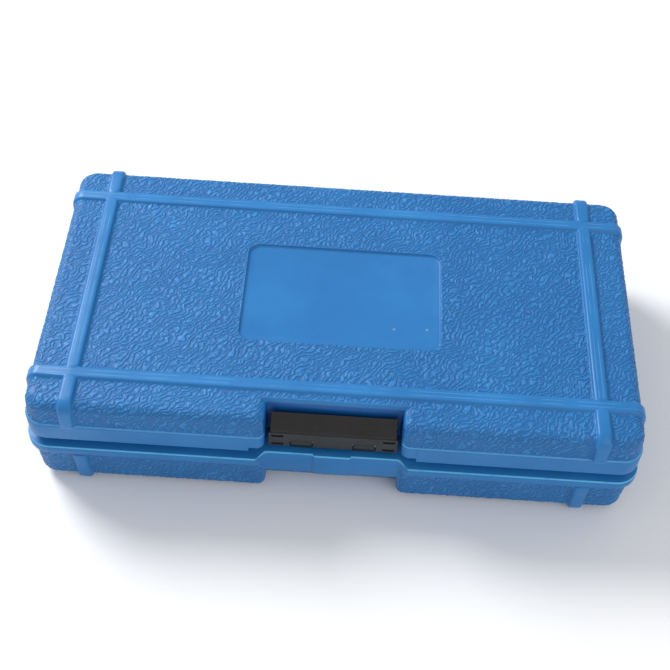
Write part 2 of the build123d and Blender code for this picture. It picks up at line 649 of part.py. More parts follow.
# ==== scanner: front housing, with the window, the buttons' holes and the grille ====
front_height = SCAN_TOP_Z - SCAN_SPLIT_Z
ceiling_z = SCAN_TOP_Z - SCAN_WALL
board_top_z = BOARD_Z + BOARD_THICK
with BuildPart() as scanner_front_housing:
    add(scanner_block(level(SCAN_SPLIT_Z), 0, front_height, SCAN_EDGE))
    add(
        scanner_block(level(SCAN_SPLIT_Z), SCAN_WALL, front_height - SCAN_WALL, SCAN_EDGE - SCAN_WALL),
        mode=Mode.SUBTRACT,
    )
    with BuildSketch(level(SCAN_SPLIT_Z)):
        add(scanner_plan(SCAN_WALL - LIP_WALL - 0.1))
    extrude(amount=LIP + 0.1, mode=Mode.SUBTRACT)
    pillar(SCREWS, SCAN_SPLIT_Z, BOSS_RADIUS - 0.6, front_height - 1)
    pillar(POSTS, board_top_z, POST_RADIUS, ceiling_z - board_top_z + 1)
    pillar(SCREWS, SCAN_SPLIT_Z, SCREW_RADIUS, 9.0, mode=Mode.SUBTRACT)
    with BuildSketch(level(SCAN_TOP_Z - DISH_SINK)):
        with Locations((HEAD_X, 0)):
            Circle(DISH_RADIUS)
    extrude(amount=DISH_SINK + 1, mode=Mode.SUBTRACT)
    extrude(window(SCAN_TOP_Z - LENS_THICK, 0), amount=LENS_THICK + 1, mode=Mode.SUBTRACT)
    extrude(window(ceiling_z - 1, -BEZEL), amount=SCAN_WALL + 1, mode=Mode.SUBTRACT)
    pillar([(READ_X, 0)], ceiling_z - 1, READ_RADIUS + BUTTON_PLAY, BIG, mode=Mode.SUBTRACT)
    pillar([(LED_X, 0)], ceiling_z - 1, LED_RADIUS, BIG, mode=Mode.SUBTRACT)
    for y in (-KEY_Y, KEY_Y):
        extrude(key_outline(ceiling_z - 1, y, BUTTON_PLAY), amount=BIG, mode=Mode.SUBTRACT)
    with BuildSketch(level(ceiling_z - 1)):
        with Locations((GRILLE_X, 0)):
            with GridLocations(GRILLE_PITCH, 0, 3, 1):
                SlotOverall(GRILLE_SLOT, GRILLE_WIDTH, rotation=90)
    extrude(amount=BIG, mode=Mode.SUBTRACT)
    for side in (-1, 1):
        inner, outer = sorted((side * (grip_face - SIDE_GRIP_SINK), side * (grip_face + 1)))
        block(SIDE_GRIP_X, (inner, outer), SIDE_GRIP_Z, mode=Mode.SUBTRACT)
save(scanner_front_housing, "scanner_front_housing")

# ==== scanner: what shows on its top face ====
with BuildPart() as display_lens:
    extrude(window(SCAN_TOP_Z - LENS_THICK, 0), amount=LENS_THICK)
save(display_lens, "display_lens")

with BuildPart() as status_led:
    pillar([(LED_X, 0)], board_top_z, LED_RADIUS, SCAN_TOP_Z - board_top_z)
save(status_led, "status_led")

button_foot_z = ceiling_z - BUTTON_FLANGE
with BuildPart() as read_button:
    pillar([(READ_X, 0)], button_foot_z, READ_RADIUS, SCAN_TOP_Z + BUTTON_PROUD - button_foot_z)
    fillet(read_button.faces().sort_by(Axis.Z)[-1].edges(), 0.8)
    pillar([(READ_X, 0)], button_foot_z, READ_RADIUS + 1.3, BUTTON_FLANGE - 0.1)
    pillar([(READ_X, 0)], SWITCH_TOP_Z + READ_TRAVEL + 0.1, 2.5, button_foot_z - SWITCH_TOP_Z - READ_TRAVEL)
save(read_button, "read_button")

with BuildPart() as menu_key:
    extrude(key_outline(button_foot_z, KEY_Y, 0), amount=SCAN_TOP_Z + BUTTON_PROUD - button_foot_z)
    fillet(menu_key.faces().sort_by(Axis.Z)[-1].edges(), 0.6)
    extrude(key_outline(button_foot_z, KEY_Y, 1.2), amount=BUTTON_FLANGE - 0.1)
    pillar([(KEY_X, KEY_Y)], SWITCH_TOP_Z + KEY_TRAVEL + 0.1, 2, button_foot_z - SWITCH_TOP_Z - KEY_TRAVEL)
save(menu_key, "menu_key")

with BuildPart() as power_key:
    add(mirror(menu_key.part, about=Plane.XZ, mode=Mode.PRIVATE))
save(power_key, "power_key")

# ==== scanner: electronics ====
with BuildPart() as circuit_board:
    block(BOARD_X, (-BOARD_WIDTH / 2, BOARD_WIDTH / 2), (BOARD_Z, board_top_z))
    fillet(circuit_board.edges().filter_by(Axis.Z), 3)
    pillar(SCREWS[2:], BOARD_Z, BOSS_RADIUS - 0.4, BOARD_THICK, mode=Mode.SUBTRACT)
save(circuit_board, "circuit_board")

with BuildPart() as display_module:
    half_length = WINDOW_LENGTH / 2 - BEZEL - MODULE_PLAY
    half_width = WINDOW_WIDTH / 2 - BEZEL - MODULE_PLAY
    x_range = (WINDOW_X - half_length, WINDOW_X + half_length)
    block(x_range, (-half_width, half_width), (board_top_z, SCAN_TOP_Z - LENS_THICK - 0.3))
save(display_module, "display_module")

with BuildPart() as tact_switches:
    for x, y in ((READ_X, 0), (KEY_X, KEY_Y), (KEY_X, -KEY_Y)):
        block((x - 3, x + 3), (y - 3, y + 3), (board_top_z, SWITCH_TOP_Z - 0.5))
        pillar([(x, y)], SWITCH_TOP_Z - 0.5, 1.7, 0.5)
save(tact_switches, "tact_switches")

with BuildPart() as buzzer:
    pillar([(GRILLE_X - 5, 0)], board_top_z, 5.5, 4)
    pillar([(GRILLE_X - 5, 0)], board_top_z + 3, 1, 1, mode=Mode.SUBTRACT)
save(buzzer, "buzzer")

# ==== scanner: reading coil on its spool, and the lead from it to the board ====
spool_z = SCAN_BOTTOM_Z + SCAN_WALL
coil_z = spool_z + SPOOL_WALL
with BuildPart() as antenna_spool:
    with BuildSketch(level(spool_z)):
        with Locations((HEAD_X, 0)):
            Circle(COIL_RADIUS + SPOOL_WALL)
            Circle(COIL_RADIUS - COIL_WIDTH - SPOOL_WALL, mode=Mode.SUBTRACT)
    extrude(amount=COIL_HEIGHT + 2 * SPOOL_WALL)
    with BuildSketch(level(coil_z)):
        with Locations((HEAD_X, 0)):
            Circle(COIL_RADIUS + 2 * SPOOL_WALL)
            Circle(COIL_RADIUS - COIL_WIDTH, mode=Mode.SUBTRACT)
    extrude(amount=COIL_HEIGHT, mode=Mode.SUBTRACT)
save(antenna_spool, "antenna_spool")

with BuildPart() as antenna_coil:
    with BuildSketch(level(coil_z)):
        with Locations((HEAD_X, 0)):
            Circle(COIL_RADIUS)
            Circle(COIL_RADIUS - COIL_WIDTH, mode=Mode.SUBTRACT)
    extrude(amount=COIL_HEIGHT)
save(antenna_coil, "antenna_coil")

with BuildPart() as antenna_leads:
    start = HEAD_X + COIL_RADIUS + SPOOL_WALL + LEAD_RADIUS + 0.2
    for y in (-3, 3):
        with BuildLine(Plane(origin=(0, y, 0), x_dir=(1, 0, 0), z_dir=(0, -1, 0))) as run:
            Spline(
                (start, coil_z + COIL_HEIGHT / 2),
                (start + 3, BOARD_Z - 5),
                (BOARD_X[0] + 4, BOARD_Z - LEAD_RADIUS - 0.3),
                tangents=[(0, 1), (1, 0)],
            )
        with BuildSketch(Plane(origin=run.line @ 0, z_dir=run.line % 0)):
            Circle(LEAD_RADIUS)
        sweep(path=run.line)
save(antenna_leads, "antenna_leads")

# ==== scanner: battery bay ====
with BuildPart() as battery_cover:
    with BuildSketch(level(SCAN_BOTTOM_Z)):
        with Locations((CELL_X, 0)):
            RectangleRounded(HATCH_LENGTH, HATCH_WIDTH, 3)
    extrude(amount=HATCH_THICK)
    with BuildSketch(level(SCAN_BOTTOM_Z)):
        with Locations((CELL_X + HATCH_LENGTH / 2 - 8, 0)):
            with GridLocations(3, 0, 3, 1):
                SlotOverall(16, 1.2, rotation=90)
    extrude(amount=0.6, mode=Mode.SUBTRACT)
    block((bay_x[0] + 0.3, bay_x[1] - 0.3), (-3, 3), (hatch_floor_z, hatch_floor_z + 0.8))
save(battery_cover, "battery_cover")

with BuildPart() as battery_cells:
    for side in (-1, 1):
        with BuildSketch(side_on(CELL_X - CELL_LENGTH / 2 + (1.5 if side < 0 else 0))):
            with Locations((side * CELL_Y, CELL_Z)):
                Circle(CELL_RADIUS)
        extrude(amount=CELL_LENGTH - 1.5)
        with BuildSketch(side_on(CELL_X + side * CELL_LENGTH / 2 - (0 if side < 0 else 1.5))):
            with Locations((side * CELL_Y, CELL_Z)):
                Circle(2.6)
        extrude(amount=1.5)
save(battery_cells, "battery_cells")

with BuildPart() as battery_contacts:
    bow = (bay_length - CELL_LENGTH) / 2
    for side in (-1, 1):
        wall = CELL_X + side * bay_length / 2
        plate_x = sorted((wall, wall - side * CONTACT_THICK))
        block(plate_x, (-14.5, 14.5), (CELL_Z - 6, CELL_Z + 6))
        # a bowed leaf against the end of each cell
        with BuildSketch(level(CELL_Z - 2.5)):
            with Locations((wall, -CELL_Y), (wall, CELL_Y)):
                Circle(bow)
                Circle(bow - CONTACT_THICK, mode=Mode.SUBTRACT)
            with Locations((wall + side * BIG / 2, 0)):
                Rectangle(BIG, BIG, mode=Mode.SUBTRACT)
        extrude(amount=5)
save(battery_contacts, "battery_contacts")

# ==== scanner: fasteners and side grips ====
with BuildPart() as housing_screws:
    seat_z = SCAN_BOTTOM_Z + WELL_DEPTH
    pillar(SCREWS, seat_z - SCREW_HEAD[1], SCREW_HEAD[0], SCREW_HEAD[1])
    pillar(SCREWS, seat_z, SCREW_RADIUS, SCAN_SPLIT_Z + 8 - seat_z)
    with BuildSketch(level(seat_z - SCREW_HEAD[1])):
        with Locations(*SCREWS):
            RegularPolygon(1.5, 6)
    extrude(amount=1, mode=Mode.SUBTRACT)
save(housing_screws, "housing_screws")

with BuildPart() as side_grips:
    for side in (-1, 1):
        inner, outer = sorted((side * (grip_face - SIDE_GRIP_SINK), side * (grip_face + SIDE_GRIP_PROUD)))
        block(SIDE_GRIP_X, (inner, outer), SIDE_GRIP_Z)
save(side_grips, "side_grips")
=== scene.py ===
"""Looks of a blow-moulded carry case that holds a pet microchip scanner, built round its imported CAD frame."""

import math

import bpy
import numpy as np
from mathutils import Matrix, Vector


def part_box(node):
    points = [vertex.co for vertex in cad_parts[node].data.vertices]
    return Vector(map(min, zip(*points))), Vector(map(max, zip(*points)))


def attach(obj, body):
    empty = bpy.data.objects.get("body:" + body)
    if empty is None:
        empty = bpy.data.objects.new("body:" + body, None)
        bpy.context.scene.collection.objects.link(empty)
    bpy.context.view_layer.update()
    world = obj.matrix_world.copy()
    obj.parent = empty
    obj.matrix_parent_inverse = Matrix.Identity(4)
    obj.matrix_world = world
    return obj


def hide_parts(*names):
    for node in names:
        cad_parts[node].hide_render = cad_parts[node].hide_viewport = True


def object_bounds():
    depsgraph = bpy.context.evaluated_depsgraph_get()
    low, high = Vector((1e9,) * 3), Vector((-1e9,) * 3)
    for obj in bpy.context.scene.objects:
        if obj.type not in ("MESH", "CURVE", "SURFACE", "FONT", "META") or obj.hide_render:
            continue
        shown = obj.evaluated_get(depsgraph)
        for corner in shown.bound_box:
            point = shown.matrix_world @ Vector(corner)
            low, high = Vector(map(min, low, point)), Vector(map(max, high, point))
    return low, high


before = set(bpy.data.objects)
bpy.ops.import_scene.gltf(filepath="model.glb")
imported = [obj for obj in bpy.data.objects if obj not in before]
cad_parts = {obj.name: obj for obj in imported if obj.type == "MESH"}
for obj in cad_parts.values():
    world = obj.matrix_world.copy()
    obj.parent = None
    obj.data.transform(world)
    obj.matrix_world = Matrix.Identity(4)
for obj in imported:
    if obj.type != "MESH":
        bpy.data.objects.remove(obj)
cad_low, cad_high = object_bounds()

MM = 0.001

# ---- sizes shared with the solids, in millimetres about the middle of the case body
FRAME_Y = -4.4  # where the middle of the case body lies in the frame
RIB_Y = 58.2
LID_RIB_X = 125.0
BASE_RIB_X = 121.8
RIB_HALF = 3.4
LABEL_HALF = (49.5, 31.2)
LABEL_Z = 60.4
POCKET_HALF = 32.4
POCKET_BACK = -65.6
WALL_SINK = 8.0  # how far inside the rim's outline the case's walls begin
WALL_CORNER = 12.0
LEDGE_Z = 31.8
BAND_Z = 24.8
FLANGE_TOP_Z = 47.7
LID_TOP_Z = 61.7
RIM_HALF = (148.0, 81.1)
RIM_CORNER = 11.7
SHELF_Y = -76.0
SHELF_HALF = 32.0
SHELF_SWEEP = 5.0
BUMP_HALF = 9.0
LABEL_CORNER = 6.0
STRIP_TOP_Z = 45.8
GRIP_SLOT_X = 26.6
GRIP_SLOT_HALF = (2.9, 0.95)
GRIP_SLOT_Z = (37.2, 43.6)

# ---- the leather grain
GRAIN_DEPTH = 0.26
GRAIN_PITCH = 2.0  # across the rows of pebbles
GRAIN_LENGTH = 4.2  # along a row from one pebble to the next
GRAIN_ANGLE = 48  # degrees from the case's length to the rows
VENT_AT = (114.5, 48.0)  # middle of each moulding vent's mark
VENT_HALF = (3.2, 4.6)
VENT_PITCH = 1.5

SHELL_VOXEL = 0.45
SHELL_TRIANGLES = 195_000

# ---- foam
EGG_PITCH = 24.0
EGG_DEPTH = 6.5
LID_FOAM_THICK = 12.5


# ======== node graphs ========
class Graph:
    """A node tree, written as calls. Shader nodes of most kinds work in a geometry tree too."""

    def __init__(self, tree):
        self.tree = tree

    def node(self, kind, inputs=None, **settings):
        made = self.tree.nodes.new(kind if kind.startswith(("Geometry", "NodeGroup")) else "ShaderNode" + kind)
        for key, value in settings.items():
            setattr(made, key, value)
        for key, value in (inputs or {}).items():
            self.join(made.inputs[key], value)
        return made

    def join(self, socket, value):
        if isinstance(value, bpy.types.NodeSocket):
            self.tree.links.new(value, socket)
        elif isinstance(value, (tuple, list)) and len(value) == 3 and len(socket.default_value) == 4:
            socket.default_value = (*value, 1)
        else:
            socket.default_value = value

    def noise(self, place, size, detail=2, roughness=0.5, output="Fac"):
        """Noise whose coarsest features are about size millimetres across."""
        settings = {"Vector": place, "Scale": 1 / (size * MM), "Detail": detail, "Roughness": roughness}
        return self.node("TexNoise", settings).outputs[output]

    def math(self, operation, a, b=0.0):
        return self.node("Math", {0: a, 1: b}, operation=operation).outputs[0]

    def vector(self, operation, a, b=(0, 0, 0)):
        made = self.node("VectorMath", {0: a, 1: b}, operation=operation)
        return made.outputs["Value" if operation in ("DOT_PRODUCT", "LENGTH") else "Vector"]

    def scaled(self, a, factor):
        return self.node("VectorMath", {0: a, "Scale": factor}, operation="SCALE").outputs["Vector"]

    def span(self, value, low, high, to_low=0.0, to_high=1.0):
        """value from low to high, eased onto to_low to to_high."""
        limits = {"From Min": low, "From Max": high, "To Min": to_low, "To Max": to_high}
        made = self.node("MapRange", {"Value": value, **limits}, interpolation_type="SMOOTHSTEP")
        return made.outputs["Result"]

    def near(self, value, at, reach, soft):
        """1 where value is within reach of at, 0 beyond reach + soft."""
        away = self.math("ABSOLUTE", self.math("SUBTRACT", value, at))
        return self.span(away, reach, reach + soft, 1.0, 0.0)

    def product(self, first, *rest):
        for value in rest:
            first = self.math("MULTIPLY", first, value)
        return first

    def rest_of(self, value):
        return self.math("SUBTRACT", 1.0, value)


class Material(Graph):
    """A Principled material with its graph."""

    def __init__(self, name):
        self.material = bpy.data.materials.new(name)
        self.material.use_nodes = True
        super().__init__(self.material.node_tree)
        self.shader = self.tree.nodes["Principled BSDF"]
        self.place = self.node("TexCoord").outputs["Object"]

    def axes(self):
        """X, Y and Z in millimetres about the middle of the case body."""
        shifted = self.vector("SUBTRACT", self.place, (0, FRAME_Y * MM, 0))
        parts = self.node("SeparateXYZ", {0: self.scaled(shifted, 1 / MM)})
        return parts.outputs[0], parts.outputs[1], parts.outputs[2]

    def blend(self, factor, a, b):
        made = self.node("Mix", data_type="RGBA")
        for index, value in ((0, factor), (6, a), (7, b)):
            self.join(made.inputs[index], value)
        return made.outputs[2]

    def read(self, name):
        """A vertex attribute's number."""
        return self.node("Attribute", attribute_name=name).outputs["Fac"]

    def bump(self, height, distance, strength=1.0, onto=None):
        """Relief of height times distance, in millimetres."""
        inputs = {"Height": height, "Distance": distance * MM, "Strength": strength}
        if onto:
            inputs["Normal"] = onto
        return self.node("Bump", inputs).outputs["Normal"]

    def finish(self, **inputs):
        """Sets the shader's inputs, named with underscores for spaces, and returns the material."""
        for key, value in inputs.items():
            self.join(self.shader.inputs[key.replace("_", " ")], value)
        return self.material


def linear(red, green, blue):
    """A display colour, 0 to 255, as the linear colour that shaders use."""
    shares = (value / 255 for value in (red, green, blue))
    return tuple(s / 12.92 if s <= 0.04045 else ((s + 0.055) / 1.055) ** 2.4 for s in shares)


def rows(g, place, direction, pitch, bend, sweep):
    """Winding rows square to direction: -1 between them to 1 on their crests."""
    aside = Vector(direction).normalized() / (pitch * MM)
    wander = g.math("MULTIPLY", g.noise(place, 3.0, detail=0), bend)
    turn = g.math("MULTIPLY", g.noise(place, 15.0, detail=0), sweep)
    phase = g.math("ADD", g.vector("DOT_PRODUCT", place, tuple(aside)), g.math("ADD", wander, turn))
    return g.math("SINE", g.math("MULTIPLY", phase, 2 * math.pi))


def pebbles(g, place):
    """Leather grain: 0 in its creases to 1 on its pebbles, which lie in short winding rows along a diagonal."""
    turn = math.radians(GRAIN_ANGLE)
    ridge = g.span(rows(g, place, (-math.sin(turn), math.cos(turn), 0.6), GRAIN_PITCH, 2.0, 3.6), -0.95, 0.5)
    shifted = g.vector("ADD", place, (0.031, 0.017, 0.023))
    breaks = rows(g, shifted, (math.cos(turn), math.sin(turn), -0.4), GRAIN_LENGTH, 2.9, 3.0)
    cut = g.span(breaks, -0.95, -0.25, 0.22, 1.0)
    swell = g.span(g.noise(place, 5.0, detail=1), 0.3, 0.7, 0.75, 1.0)
    return g.product(ridge, cut, swell)


# ======== mesh helpers ========
def ramp(numbers, low, high):
    """0 below low, 1 above high, smooth between."""
    t = np.clip((numbers - low) / (high - low), 0, 1)
    return t * t * (3 - 2 * t)


def coordinates(mesh):
    """A mesh's vertices as rows, in millimetres about the middle of the case body."""
    flat = np.empty(len(mesh.vertices) * 3)
    mesh.vertices.foreach_get("co", flat)
    points = flat.reshape(-1, 3) / MM
    points[:, 1] -= FRAME_Y
    return points


def put_coordinates(mesh, points):
    """Writes rows made by coordinates() back to the mesh."""
    points = points.copy()
    points[:, 1] += FRAME_Y
    mesh.vertices.foreach_set("co", (points * MM).ravel())
    mesh.update()


def normals(mesh):
    """A mesh's vertex normals as rows."""
    flat = np.empty(len(mesh.vertices) * 3)
    mesh.vertex_normals.foreach_get("vector", flat)
    return flat.reshape(-1, 3)


def values(mesh, name):
    """An attribute's number at each vertex."""
    layer = mesh.attributes[name]
    out = np.empty(len(layer.data))
    layer.data.foreach_get("value", out)
    return out


def attribute(mesh, name, numbers):
    """Stores one number for each vertex, for the material to read."""
    layer = mesh.attributes.new(name, "FLOAT", "POINT")
    layer.data.foreach_set("value", np.asarray(numbers, dtype=np.float32))


def modify(obj, kind, **settings):
    """Adds a modifier, applies it to the object's mesh and returns the object."""
    modifier = obj.modifiers.new(kind.lower(), kind)
    for key, value in settings.items():
        setattr(modifier, key, value)
    depsgraph = bpy.context.evaluated_depsgraph_get()
    mesh = bpy.data.meshes.new_from_object(obj.evaluated_get(depsgraph))
    obj.modifiers.clear()
    old = obj.data
    obj.data = mesh
    bpy.data.meshes.remove(old)
    return obj


def skin(node, name, voxel):
    """A fresh, even mesh over a CAD node's surface, as a new object."""
    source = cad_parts[node]
    mesh = source.data.copy()
    mesh.materials.clear()
    obj = bpy.data.objects.new(name, mesh)
    obj.matrix_world = source.matrix_world
    bpy.context.scene.collection.objects.link(obj)
    modify(obj, "WELD", merge_threshold=0.00001)
    modify(obj, "REMESH", mode="VOXEL", voxel_size=voxel * MM, adaptivity=0)
    return obj


def thin_out(obj, triangles):
    """Collapses the flattest edges until about that many triangles are left."""
    obj.data.calc_loop_triangles()
    count = len(obj.data.loop_triangles)
    if count > triangles:
        modify(obj, "DECIMATE", ratio=triangles / count)
    obj.data.shade_smooth()
    return obj


def stand_in(obj, node, body, material):
    """obj is shown in place of the CAD node, on its body, with its finish."""
    obj.data.materials.clear()
    obj.data.materials.append(material)
    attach(obj, body)
    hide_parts(node)


# ======== case material and shells ========
def beyond_rim(g, across, y, deep):
    """Distance outside the base rim's outer edge in plan. across and deep are X and Y without their signs."""
    corner = g.node("CombineXYZ", {0: across, 1: deep}).outputs[0]
    corner = g.vector("SUBTRACT", corner, (RIM_HALF[0] - RIM_CORNER, RIM_HALF[1] - RIM_CORNER, 0))
    past = g.vector("LENGTH", g.vector("MAXIMUM", corner, (0, 0, 0)))
    parts = g.node("SeparateXYZ", {0: corner})
    inner = g.math("MINIMUM", g.math("MAXIMUM", parts.outputs[0], parts.outputs[1]), 0.0)
    edge = g.math("SUBTRACT", g.math("ADD", past, inner), RIM_CORNER)
    sweep = g.span(across, SHELF_HALF, SHELF_HALF + SHELF_SWEEP, SHELF_Y, -RIM_HALF[1])
    bump = g.span(across, BUMP_HALF, BUMP_HALF + 0.1, 1.0, 0.0)
    shelf = g.math("SUBTRACT", g.math("SUBTRACT", sweep, bump), y)
    front = g.span(across, SHELF_HALF + SHELF_SWEEP, SHELF_HALF + SHELF_SWEEP + 0.1, 1.0, 0.0)
    front = g.product(front, g.span(y, -60, -59, 1.0, 0.0))
    return g.math("ADD", g.product(front, shelf), g.product(g.rest_of(front), edge))


def case_material():
    """Blue polyethylene: leather grain off the ribs, with painted shade in its creases and a painted highlight
    on each pebble, fine lines on the ribs, pale flash along the rim, and painted shade on the pocket's walls.
    """
    g = Material("case_polyethylene")
    x, y, z = g.axes()
    across, deep = g.math("ABSOLUTE", x), g.math("ABSOLUTE", y)
    grained = g.read("grained")
    pebble = pebbles(g, g.place)
    mottle = g.span(g.noise(g.place, 42, 4), 0.3, 0.7)
    body = g.blend(mottle, linear(30, 109, 172), linear(37, 118, 181))
    # painted shade: the grain's creases are painted darker
    body = g.blend(g.product(grained, g.rest_of(pebble), 0.42), body, linear(10, 68, 130))
    # painted highlight: the tops of the pebbles are painted paler
    body = g.blend(g.product(grained, g.span(pebble, 0.7, 1.0), 0.22), body, linear(70, 150, 216))
    # painted shade on the pocket's smooth walls, deeper in tone than the grain where the pocket lies in shadow
    pocket_shade = g.product(g.near(x, 0, POCKET_HALF + 0.4, 1.0), g.near(y, POCKET_BACK - 4.6, 6.4, 0.4))
    pocket_shade = g.product(pocket_shade, g.rest_of(grained), g.near(z, 47.5, 10.6, 1.5))
    body = g.blend(g.math("MULTIPLY", pocket_shade, 0.7), body, linear(0, 62, 134))
    # the marks of moulding vents near the corners of the lid's panel: a smooth patch with fine lines
    vent = g.product(
        g.near(across, VENT_AT[0], VENT_HALF[0], 0.3),
        g.near(deep, VENT_AT[1], VENT_HALF[1], 0.3),
        g.span(z, LID_TOP_Z - 1, LID_TOP_Z - 0.8),
    )
    lines = g.math("SINE", g.math("MULTIPLY", x, 2 * math.pi / VENT_PITCH))
    relief = g.product(grained, g.rest_of(g.math("MULTIPLY", vent, 0.75)), pebble)
    relief = g.math("ADD", relief, g.product(vent, g.span(lines, -0.2, 0.6), 0.8))
    # a pair of fine lines that the mould leaves along the crest of each rib
    along_case = g.near(g.math("ABSOLUTE", g.math("SUBTRACT", deep, RIB_Y)), 1.1, 0.12, 0.22)
    across_case = g.near(g.math("ABSOLUTE", g.math("SUBTRACT", across, LID_RIB_X)), 1.1, 0.12, 0.22)
    across_case = g.product(across_case, g.span(deep, RIB_Y - 4.0, RIB_Y - 3.0, 1.0, 0.0))
    crest = g.product(g.math("MAXIMUM", along_case, across_case), g.span(z, FLANGE_TOP_Z, FLANGE_TOP_Z + 2))
    crest = g.product(crest, g.span(g.noise(g.place, 13, 2), 0.35, 0.6))
    body = g.blend(g.product(crest, g.rest_of(grained), 0.34), body, linear(104, 168, 214))
    # brushed lines across the label recess
    brushed = g.product(g.near(x, 0, LABEL_HALF[0], 0.2), g.near(y, 0, LABEL_HALF[1], 0.2))
    brushed = g.product(brushed, g.span(z, LABEL_Z - 0.9, LABEL_Z - 0.4))
    strokes = g.noise(g.vector("MULTIPLY", g.place, (1, 0.03, 1)), 0.55, 1)
    relief = g.math("ADD", relief, g.product(brushed, strokes, 0.10))
    # the flash: along the outer top edge of the base's rim, and fainter round the top of the lid's flange
    rim = beyond_rim(g, across, y, deep)
    uneven = g.span(g.noise(g.place, 7, 2), 0.25, 0.5, 0.6, 1.0)
    flash = g.product(g.near(z, LEDGE_Z, 0.55, 0.2), g.span(rim, -0.6, -0.4), uneven)
    body = g.blend(flash, body, linear(86, 182, 230))
    seam = g.product(g.near(z, FLANGE_TOP_Z + 0.1, 0.16, 0.2), g.span(rim, -3.0, -2.8), uneven, 0.6)
    body = g.blend(seam, body, linear(96, 172, 224))
    # two faint scuffs in the label recess
    for at in ((26.4, -18.6), (42.7, -17.7)):
        away = g.vector("LENGTH", g.vector("SUBTRACT", g.node("CombineXYZ", {0: x, 1: y}).outputs[0], (*at, 0)))
        scuff = g.product(g.span(away, 0.25, 0.9, 1.0, 0.0), g.span(z, LABEL_Z - 0.4, LABEL_Z - 0.3))
        body = g.blend(g.math("MULTIPLY", scuff, 0.55), body, linear(168, 158, 160))
    scratch = g.noise(g.vector("MULTIPLY", g.place, (0.05, 1, 1)), 0.5, 2)
    smooth_wear = g.product(g.rest_of(grained), g.span(scratch, 0.62, 0.72))
    roughness = g.span(g.noise(g.place, 6, 3), 0.2, 0.8, 0.36, 0.44)
    roughness = g.math("ADD", roughness, g.math("ADD", g.product(smooth_wear, 0.08), g.product(grained, 0.10)))
    normal = g.bump(g.noise(g.place, 0.7, 3, 0.6), 0.02, 0.3)
    normal = g.bump(g.noise(g.place, 24, 2), 0.5, 0.22, normal)
    normal = g.bump(relief, 0.24, 1.0, normal)
    return g.finish(Base_Color=body, Roughness=roughness, Normal=normal, Specular_IOR_Level=0.38)


def strip(across, centre, half):
    """1 on either of a pair of straight ribs at plus and minus centre, 0 off them."""
    return 1 - ramp(np.abs(np.abs(across) - centre), half + 0.1, half + 0.7)


def rounded_distance(points, half, corner):
    """Distance outside a rounded rectangle in plan, negative inside it."""
    q = np.abs(points[:, :2]) - (np.array(half) - corner)
    outside = np.linalg.norm(np.maximum(q, 0), axis=1)
    return outside + np.minimum(np.max(q, axis=1), 0) - corner


def wall_half(sink):
    """Half the plan of an outline that far inside the rim's."""
    return RIM_HALF[0] - sink, RIM_HALF[1] - sink


def off_ribs(points, cross_rib_x):
    """1 off the ribs along and across the case, 0 on them."""
    x, y, z = points.T
    return (1 - strip(y, RIB_Y, RIB_HALF)) * (1 - strip(x, cross_rib_x, RIB_HALF))


def lid_grained(points):
    """Where the lid is grained: its top and walls, off the ribs, label recess, flange and pocket."""
    x, y, z = points.T
    label = ramp(rounded_distance(points, LABEL_HALF, LABEL_CORNER), 0.2, 0.8)
    in_pocket = (np.abs(x) < POCKET_HALF + 1.2) & (y < POCKET_BACK + 0.9)
    outside = ramp(rounded_distance(points, wall_half(WALL_SINK), WALL_CORNER), -0.5, 0.5)
    top = ramp(z, LID_TOP_Z - 2.5, LID_TOP_Z - 1.5)
    above = ramp(z, FLANGE_TOP_Z + 0.2, FLANGE_TOP_Z + 0.9)
    return off_ribs(points, LID_RIB_X) * np.where(top > 0.5, label, outside) * above * ~in_pocket


def base_grained(points):
    """Where the base is grained: its lower walls and underside, off the ribs, the rim and the pull recess."""
    x, y, z = points.T
    in_pocket = (np.abs(x) < POCKET_HALF + 1.2) & (y < POCKET_BACK + 0.5)
    outside = rounded_distance(points, wall_half(WALL_SINK + 1), WALL_CORNER) > 0
    below = 1 - ramp(z, BAND_Z - 1.4, BAND_Z - 0.4)
    return off_ribs(points, BASE_RIB_X) * (outside | (z < 4.5)) * below * ~in_pocket


def store_pebbles(obj):
    """Stores the grain at each vertex, by the same nodes as the material's."""
    tree = bpy.data.node_groups.new("grain", "GeometryNodeTree")
    for direction in ("INPUT", "OUTPUT"):
        tree.interface.new_socket("Geometry", in_out=direction, socket_type="NodeSocketGeometry")
    g = Graph(tree)
    place = g.node("GeometryNodeInputPosition").outputs[0]
    inputs = {"Geometry": g.node("NodeGroupInput").outputs[0], "Name": "pebble", "Value": pebbles(g, place)}
    stored = g.node("GeometryNodeStoreNamedAttribute", inputs, data_type="FLOAT", domain="POINT")
    g.node("NodeGroupOutput", {0: stored.outputs[0]})
    return modify(obj, "NODES", node_group=tree)


def grained_shell(node, name, body, where, material):
    """A case shell with its grain pressed into the surface."""
    obj = store_pebbles(skin(node, name, SHELL_VOXEL))
    mesh = obj.data
    points = coordinates(mesh)
    sunk = where(points) * GRAIN_DEPTH * (1 - values(mesh, "pebble"))
    put_coordinates(mesh, points - normals(mesh) * sunk[:, None])
    mesh.attributes.remove(mesh.attributes["pebble"])
    thin_out(obj, SHELL_TRIANGLES)
    points = coordinates(obj.data)
    attribute(obj.data, "grained", where(points))
    stand_in(obj, node, body, material)


